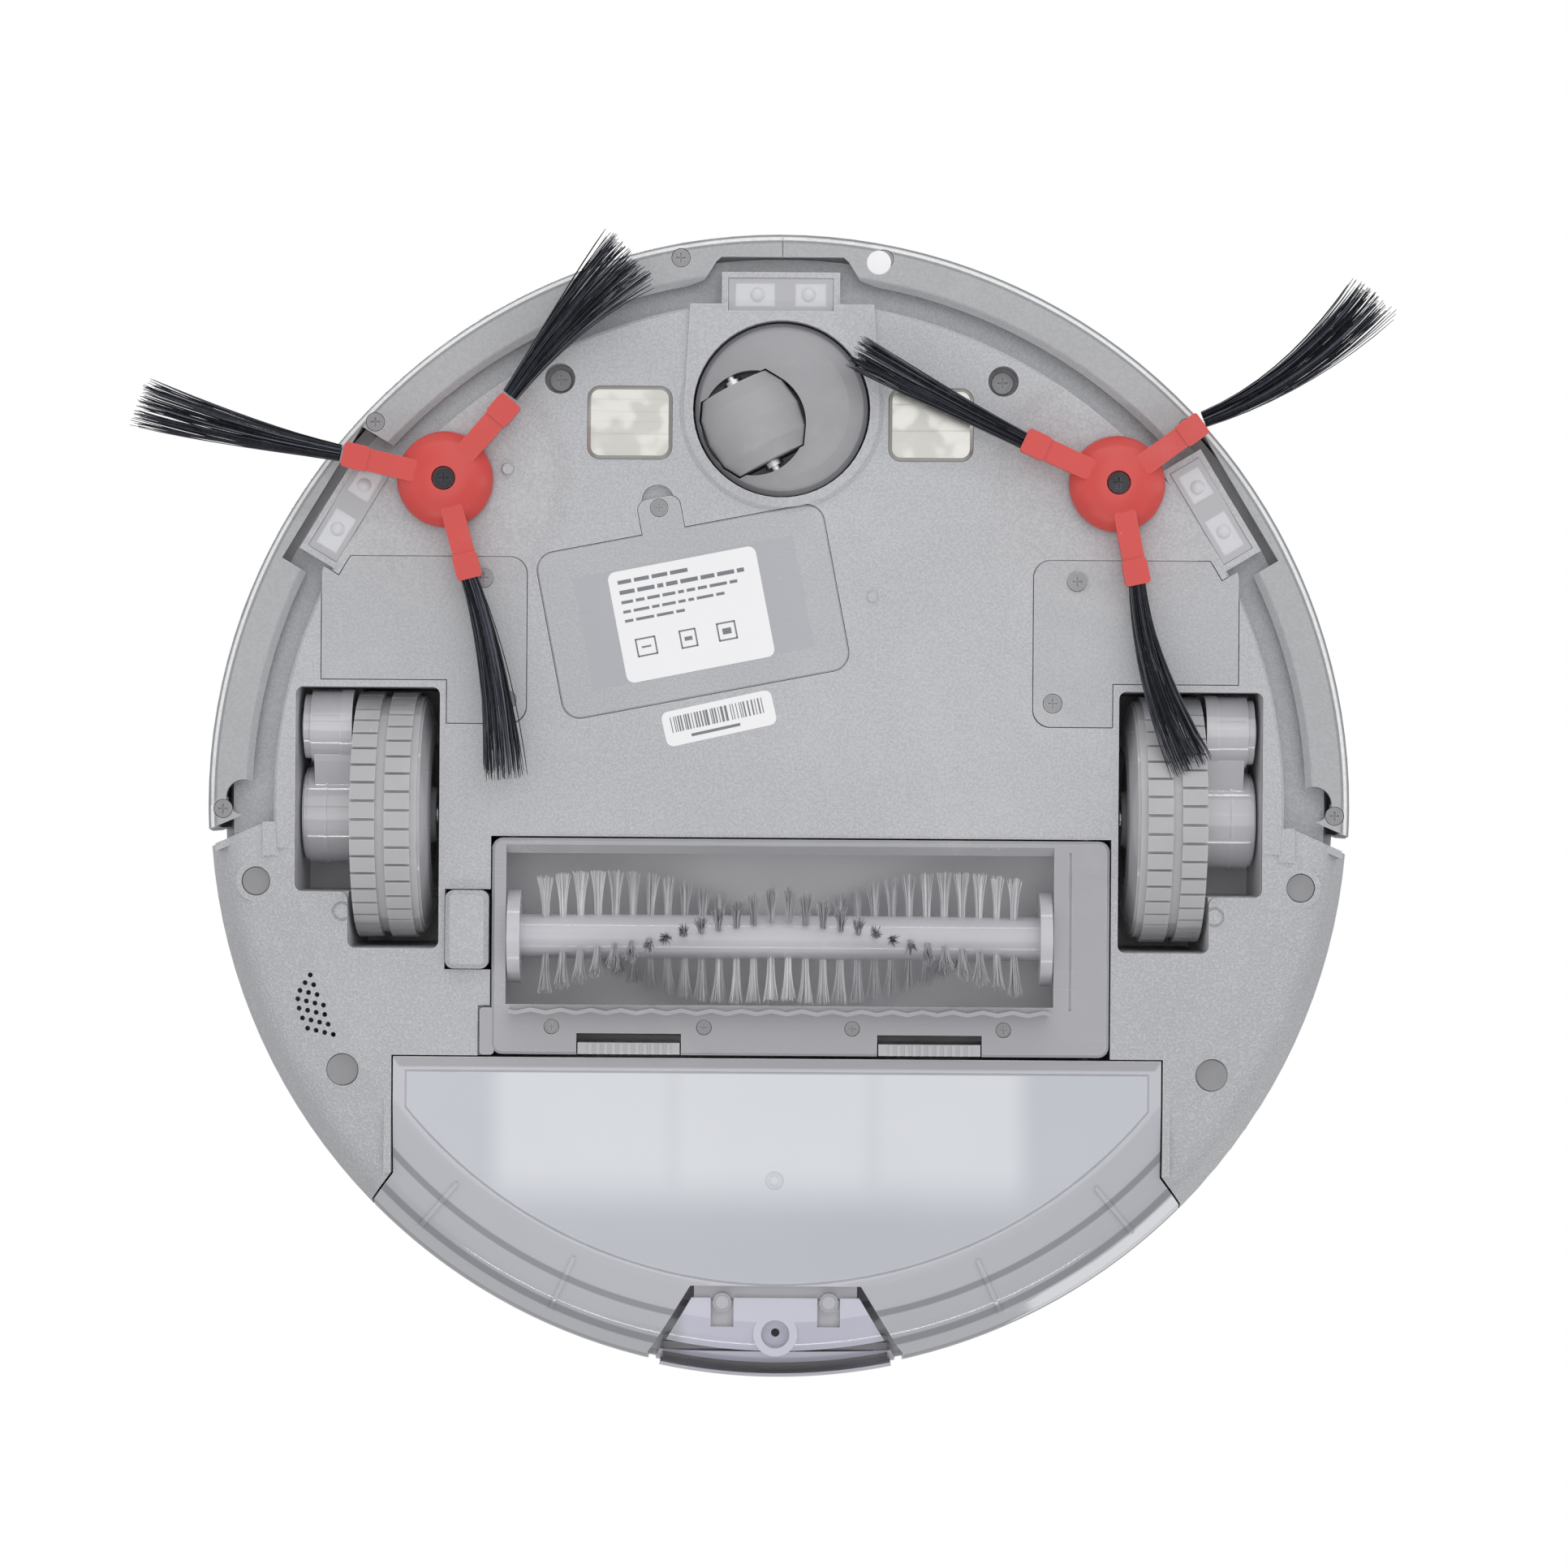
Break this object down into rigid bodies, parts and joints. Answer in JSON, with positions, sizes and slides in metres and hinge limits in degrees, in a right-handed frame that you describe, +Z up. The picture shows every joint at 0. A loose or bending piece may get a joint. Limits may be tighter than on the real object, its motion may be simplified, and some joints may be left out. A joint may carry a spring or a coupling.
{
  "type": "robot vacuum cleaner",
  "caption": "Round robot vacuum with sprung drive wheels, swivel caster, spinning side brushes, bristle roller, pull-out dustbin and floating bumper.",
  "frame": {"origin": "on the floor, under the axis of the round body", "axes": "-Y is forwards, +Z up, +X to the right when seen from below with the front at the top"},
  "size_m": [0.3514, 0.3251, 0.079],
  "materials": {
    "body_plastic": "fine texture",
    "cover_plastic": "satin",
    "bumper_plastic": "satin",
    "smoky_plastic": "translucent",
    "inner_plastic": "matt",
    "dark_gloss_plastic": "gloss",
    "hub_plastic": "satin",
    "tyre_rubber": "matt",
    "wiper_rubber": "matt",
    "bright_steel": "bright",
    "motor_steel": "satin",
    "contact_nickel": "satin",
    "battery_wrap": "shrink film over cells",
    "board": "solder mask",
    "red_plastic": "satin",
    "bristle_dark": "bristle",
    "bristle_pale": "bristle",
    "filter_paper": "pleated",
    "clear_window": "clear",
    "light_diffuser": "frosted"
  },
  "bodies": {
    "base": {"access_cover_left": "body_plastic", "access_cover_right": "body_plastic", "base_shell": "body_plastic", "battery_cover": "body_plastic", "battery_pack": "battery_wrap", "bumper_springs": "bright_steel", "bumper_switches": "dark_gloss_plastic", "caster_socket": "inner_plastic", "charging_contact_left": "contact_nickel", "charging_contact_right": "contact_nickel", "cliff_sensors": "inner_plastic", "cliff_windows": "clear_window", "deck_screws": "bright_steel", "fan_housing": "inner_plastic", "light_ring": "light_diffuser", "main_board": "board", "roller_gearbox": "dark_gloss_plastic", "roller_housing": "inner_plastic", "side_brush_motors": "dark_gloss_plastic", "speaker": "motor_steel", "top_cover": "cover_plastic", "wheel_housing_left": "inner_plastic", "wheel_housing_right": "inner_plastic"},
    "bumper": {"bumper_shell": "bumper_plastic", "ir_window": "dark_gloss_plastic", "bumper_screws": "bright_steel"},
    "caster_swivel": {"caster_swivel": "inner_plastic", "caster_axle": "bright_steel"},
    "caster_wheel": {"caster_wheel": "dark_gloss_plastic"},
    "side_brush_left": {"side_brush_left": "red_plastic", "side_brush_shaft_left": "bright_steel", "side_brush_bristles_left": "bristle_dark"},
    "side_brush_right": {"side_brush_right": "red_plastic", "side_brush_shaft_right": "bright_steel", "side_brush_bristles_right": "bristle_dark"},
    "drive_arm_left": {"drive_gearbox_left": "dark_gloss_plastic", "drive_motor_left": "motor_steel", "wheel_axle_left": "bright_steel"},
    "drive_arm_right": {"drive_gearbox_right": "dark_gloss_plastic", "drive_motor_right": "motor_steel", "wheel_axle_right": "bright_steel"},
    "wheel_left": {"wheel_hub_left": "hub_plastic", "wheel_tyre_left": "tyre_rubber"},
    "wheel_right": {"wheel_hub_right": "hub_plastic", "wheel_tyre_right": "tyre_rubber"},
    "roller": {"roller_core": "dark_gloss_plastic", "roller_end_caps": "inner_plastic", "roller_bristles_dark": "bristle_dark", "roller_bristles_pale": "bristle_pale"},
    "brush_cover": {"brush_cover": "body_plastic", "wiper_strip": "wiper_rubber", "guard_screws": "bright_steel"},
    "latch_left": {"latch_left": "dark_gloss_plastic"},
    "latch_right": {"latch_right": "dark_gloss_plastic"},
    "dustbin": {"dustbin_body": "smoky_plastic", "dustbin_lid": "smoky_plastic", "dustbin_filter": "filter_paper"},
    "bin_button": {"release_button": "body_plastic"},
    "power_button": {"power_button": "cover_plastic"},
    "fan": {"fan_impeller": "inner_plastic"}
  },
  "joints": [
    {"name": "bumper_press", "type": "slide", "parent": "base", "child": "bumper", "axis": [0, 1, 0], "range_m": [0, 0.004], "stiffness_N_per_m": 300, "springref_m": -0.006, "deforming": ["bumper_springs"]},
    {"name": "caster_swivel", "type": "hinge", "parent": "base", "child": "caster_swivel", "pos_m": [0, -0.1112, 0.02], "axis": [0, 0, 1], "continuous": true},
    {"name": "caster_roll", "type": "hinge", "parent": "caster_swivel", "child": "caster_wheel", "pos_m": [-0.00783, -0.10718, 0.014], "axis": [0.4571, 0.8894, 0], "continuous": true},
    {"name": "left_suspension", "type": "hinge", "parent": "base", "child": "drive_arm_left", "pos_m": [-0.128, -0.0214, 0.027], "axis": [-1, 0, 0], "range_deg": [0, 35], "stiffness_Nm_per_rad": 0.11, "springref_deg": 54.43},
    {"name": "left_wheel_spin", "type": "hinge", "parent": "drive_arm_left", "child": "wheel_left", "pos_m": [-0.1105, 0.0035, 0.035], "axis": [1, 0, 0], "continuous": true},
    {"name": "left_side_brush_spin", "type": "hinge", "parent": "base", "child": "side_brush_left", "pos_m": [-0.0943, -0.0907, 0.01], "axis": [0, 0, 1], "continuous": true, "deforming": ["side_brush_bristles_left"]},
    {"name": "right_suspension", "type": "hinge", "parent": "base", "child": "drive_arm_right", "pos_m": [0.128, -0.0214, 0.027], "axis": [-1, 0, 0], "range_deg": [0, 35], "stiffness_Nm_per_rad": 0.11, "springref_deg": 54.43},
    {"name": "right_wheel_spin", "type": "hinge", "parent": "drive_arm_right", "child": "wheel_right", "pos_m": [0.1105, 0.0035, 0.035], "axis": [1, 0, 0], "continuous": true},
    {"name": "right_side_brush_spin", "type": "hinge", "parent": "base", "child": "side_brush_right", "pos_m": [0.0943, -0.0907, 0.01], "axis": [0, 0, 1], "continuous": true, "deforming": ["side_brush_bristles_right"]},
    {"name": "roller_spin", "type": "hinge", "parent": "base", "child": "roller", "pos_m": [0.0005, 0.0375, 0.02], "axis": [1, 0, 0], "continuous": true},
    {"name": "brush_cover_lift", "type": "slide", "parent": "base", "child": "brush_cover", "axis": [0, 0, -1], "range_m": [0, 0.03]},
    {"name": "latch_left_press", "type": "slide", "parent": "brush_cover", "child": "latch_left", "axis": [0, -1, 0], "range_m": [0, 0.002], "stiffness_N_per_m": 200, "springref_m": -0.002},
    {"name": "latch_right_press", "type": "slide", "parent": "brush_cover", "child": "latch_right", "axis": [0, -1, 0], "range_m": [0, 0.002], "stiffness_N_per_m": 200, "springref_m": -0.002},
    {"name": "dustbin_slide", "type": "slide", "parent": "base", "child": "dustbin", "axis": [0, 1, 0], "range_m": [0, 0.11]},
    {"name": "bin_button_press", "type": "slide", "parent": "dustbin", "child": "bin_button", "axis": [0, -1, 0], "range_m": [0, 0.003], "stiffness_N_per_m": 300, "springref_m": -0.002},
    {"name": "power_button_press", "type": "slide", "parent": "base", "child": "power_button", "axis": [0, 0, -1], "range_m": [0, 0.001], "stiffness_N_per_m": 500, "springref_m": -0.002},
    {"name": "fan_spin", "type": "hinge", "parent": "base", "child": "fan", "pos_m": [0.058, -0.044, 0.03], "axis": [0, 0, 1], "continuous": true}
  ]
}
